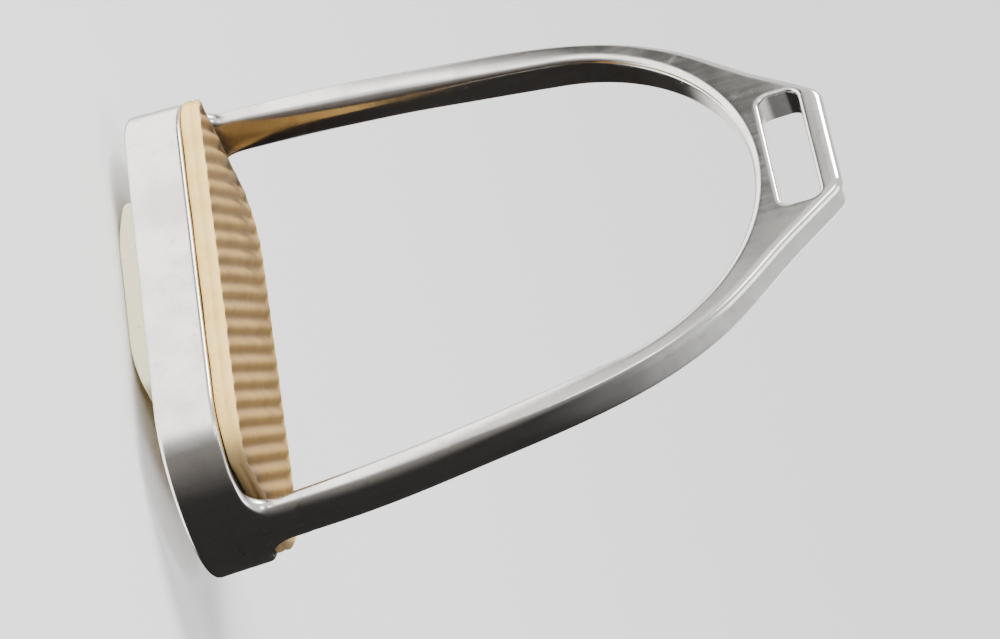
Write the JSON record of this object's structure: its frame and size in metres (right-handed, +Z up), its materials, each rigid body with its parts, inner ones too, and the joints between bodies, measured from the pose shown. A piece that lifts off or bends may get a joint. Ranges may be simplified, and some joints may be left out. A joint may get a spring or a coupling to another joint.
{
  "type": "stirrup iron",
  "caption": "Polished stirrup iron with a leather slot in its eye, a round arch and a wide open tread filled by a ribbed rubber pad with a hollow lip underneath.",
  "frame": {"origin": "centre of the footprint, on the level bottom edge of the pad's lip, which is the lowest line of the part", "axes": "+X across the iron from branch to branch, -Y the front, +Z up from the tread to the eye"},
  "size_m": [0.127, 0.047, 0.1595],
  "materials": {
    "iron": "polished, lightly worn and spotted",
    "pad": "matt, aged cream rubber"
  },
  "bodies": {
    "root": {"iron": "iron", "tread_pad": "pad"}
  },
  "joints": []
}
